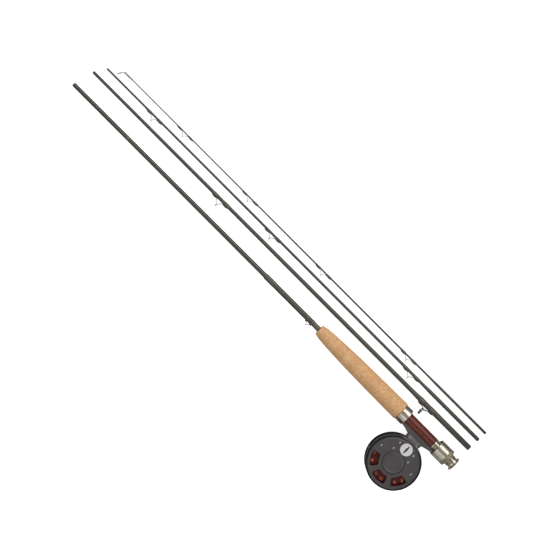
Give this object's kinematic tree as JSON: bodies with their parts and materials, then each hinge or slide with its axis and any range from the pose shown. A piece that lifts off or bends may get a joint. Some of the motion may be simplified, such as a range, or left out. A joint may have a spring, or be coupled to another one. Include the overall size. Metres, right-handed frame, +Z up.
{
  "type": "fly fishing rod and reel",
  "caption": "Fly rod taken down into its sections and laid side by side, with cork grip, wood reel seat and a mounted fly reel that turns.",
  "frame": {"origin": "centre of the outfit's footprint on the surface it lies on", "axes": "+X along the sections towards the butt end, -Y towards the side that the guides and the reel point to, +Z up"},
  "size_m": [0.7452, 0.1578, 0.0542],
  "materials": {
    "carbon_blank": "gloss clear-coated dark olive carbon fibre",
    "nickel_silver": "bright turned and finely knurled nickel silver",
    "thread": "gloss-varnished brown thread winding",
    "cork": "sanded natural cork",
    "rosewood": "polished burgundy rosewood",
    "reel_charcoal": "satin charcoal anodised",
    "reel_black": "black anodised",
    "burgundy_anodised": "burgundy anodised, satin",
    "backing_line": "braided salmon-orange backing line",
    "steel": "polished stainless steel",
    "bronze": "turned bronze",
    "ceramic": "polished dark ceramic",
    "knob_black": "satin black moulded knob"
  },
  "bodies": {
    "root": {"butt_blank": "carbon_blank", "butt_sleeve": "carbon_blank", "grip_winding": "thread", "hook_keeper": "nickel_silver", "cork_grip": "cork", "fixed_hood": "nickel_silver", "seat_insert": "rosewood", "threaded_barrel": "nickel_silver", "butt_cap": "nickel_silver", "reel_foot": "reel_charcoal", "foot_screw_1": "steel", "foot_screw_2": "steel", "foot_bridge": "reel_black", "reel_back_plate": "reel_charcoal", "reel_front_ring": "reel_black", "frame_pillar_1": "reel_black", "frame_pillar_2": "reel_black", "frame_pillar_3": "reel_black", "back_badge": "steel", "pawl_screw_left": "steel", "pawl_screw_right": "steel", "spring_screw_left_1": "steel", "spring_screw_left_2": "steel", "spring_screw_right_1": "steel", "spring_screw_right_2": "steel", "pawl_spring_left": "steel", "pawl_spring_right": "steel", "spindle": "steel", "drag_disc": "cork", "pressure_plate": "steel", "disc_spring": "steel"},
    "sliding_hood_body": {"sliding_hood": "nickel_silver"},
    "locking_nut_body": {"locking_nut": "nickel_silver"},
    "spool_body": {"spool": "burgundy_anodised", "line_winding": "backing_line", "click_gear": "bronze", "spool_bush": "bronze", "handle_post": "steel", "counterweight": "steel", "hub_cap": "reel_charcoal", "release_spring": "steel"},
    "handle_knob_body": {"handle_knob": "knob_black"},
    "release_button_body": {"release_button": "steel"},
    "drag_dial_body": {"drag_dial": "reel_charcoal"},
    "pawl_left_body": {"click_pawl_left": "steel"},
    "pawl_right_body": {"click_pawl_right": "steel"},
    "second_section": {"second_blank": "carbon_blank", "stripping_guide": "steel", "stripping_ring": "ceramic", "snake_guide_1": "steel"},
    "third_section": {"third_blank": "carbon_blank", "snake_guide_2": "steel", "snake_guide_3": "steel", "snake_guide_4": "steel"},
    "tip_section": {"tip_blank": "carbon_blank", "snake_guide_5": "steel", "snake_guide_6": "steel", "snake_guide_7": "steel", "snake_guide_8": "steel", "tip_top": "steel"}
  },
  "joints": [
    {"name": "nut_turn", "type": "hinge", "parent": "sliding_hood_body", "child": "locking_nut_body", "pos_m": [0.35788, 0.01712, 0.01599], "axis": [0.9999, 0.0045, 0.0165], "range_deg": [0, 1800]},
    {"name": "hood_slide", "type": "slide", "parent": "root", "child": "sliding_hood_body", "axis": [0.9999, 0.0045, 0.0165], "range_m": [0, 0.006]},
    {"name": "spool_spin", "type": "hinge", "parent": "root", "child": "spool_body", "pos_m": [0.30929, -0.03788, 0.03019], "axis": [-0.0172, 0.2641, 0.9643], "continuous": true},
    {"name": "handle_knob_spin", "type": "hinge", "parent": "spool_body", "child": "handle_knob_body", "pos_m": [0.31861, -0.06801, 0.01268], "axis": [-0.0172, 0.2641, 0.9643], "continuous": true},
    {"name": "release_press", "type": "slide", "parent": "spool_body", "child": "release_button_body", "axis": [-0.0172, 0.2641, 0.9643], "range_m": [0, 0.0008], "stiffness_N_per_m": 300, "springref_m": -0.001},
    {"name": "drag_dial_turn", "type": "hinge", "parent": "root", "child": "drag_dial_body", "pos_m": [0.30907, -0.03445, 0.04273], "axis": [-0.0172, 0.2641, 0.9643], "range_deg": [0, 300]},
    {"name": "pawl_left_swing", "type": "hinge", "parent": "root", "child": "pawl_left_body", "pos_m": [0.29528, -0.02227, 0.03272], "axis": [-0.0172, 0.2641, 0.9643], "range_deg": [-8, 8], "stiffness_Nm_per_rad": 0.002},
    {"name": "pawl_right_swing", "type": "hinge", "parent": "root", "child": "pawl_right_body", "pos_m": [0.32307, -0.02215, 0.03318], "axis": [-0.0172, 0.2641, 0.9643], "range_deg": [-8, 8], "stiffness_Nm_per_rad": 0.002},
    {"name": "second_section_lift", "type": "slide", "parent": "root", "child": "second_section", "axis": [0, 0, 1], "range_m": [0, 0.1]},
    {"name": "third_section_lift", "type": "slide", "parent": "root", "child": "third_section", "axis": [0, 0, 1], "range_m": [0, 0.1]},
    {"name": "tip_section_lift", "type": "slide", "parent": "root", "child": "tip_section", "axis": [0, 0, 1], "range_m": [0, 0.1]}
  ],
  "couplings": [
    {"joint": "hood_slide", "follows": "nut_turn", "m_per_rad": 0.00019099}
  ]
}
